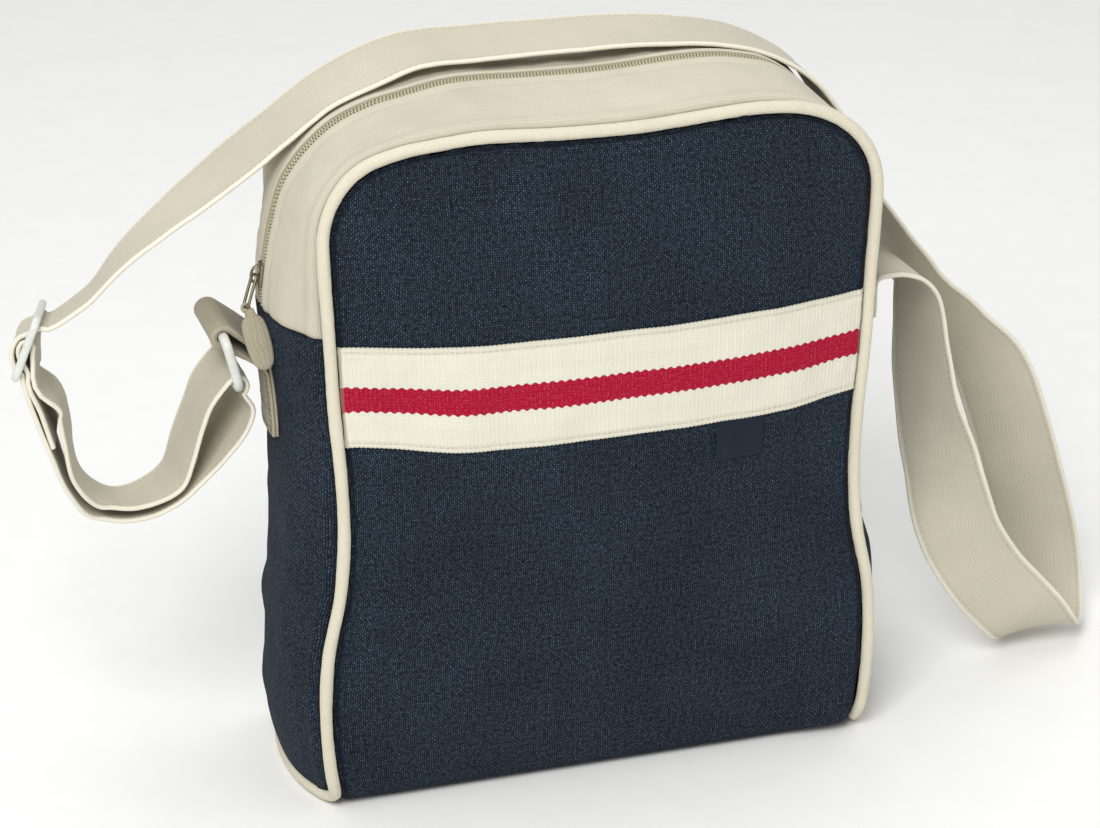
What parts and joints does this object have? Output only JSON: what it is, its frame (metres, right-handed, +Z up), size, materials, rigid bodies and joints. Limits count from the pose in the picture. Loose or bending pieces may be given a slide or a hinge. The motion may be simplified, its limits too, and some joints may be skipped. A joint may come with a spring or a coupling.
{
  "type": "canvas shoulder bag",
  "caption": "Upright canvas shoulder bag with a zip gusset over an arched top, piping, a striped band, and a flat strap with a ring and a slide adjuster.",
  "frame": {"origin": "centre of the flat base that the bag stands on", "axes": "+X to the right as seen from the front, +Y from the front panel to the back panel, +Z up"},
  "size_m": [0.5326, 0.1258, 0.3353],
  "materials": {
    "navy_canvas": "washed plain weave",
    "cream_canvas": "dense plain weave",
    "piping_cotton": "twill bound cord",
    "band_webbing": "ribbed webbing with a red centre",
    "label_cloth": "smooth woven label, blank",
    "zip_nylon": "nylon coil on woven tape",
    "zip_metal": "antique plated",
    "white_plastic": "moulded, satin"
  },
  "bodies": {
    "root": {"front_panel": "navy_canvas", "back_panel": "navy_canvas", "bottom_panel": "navy_canvas", "side_panel_left": "navy_canvas", "side_panel_right": "navy_canvas", "top_gusset_front": "cream_canvas", "top_gusset_back": "cream_canvas", "piping": "piping_cotton", "stripe_band": "band_webbing", "side_label": "label_cloth", "zip_chain": "zip_nylon", "zip_slider": "zip_metal", "zip_pull_link": "zip_metal", "zip_puller": "cream_canvas", "ring_tab": "cream_canvas", "strap_ring": "white_plastic", "strap_slider": "white_plastic", "strap": "cream_canvas"}
  },
  "joints": []
}
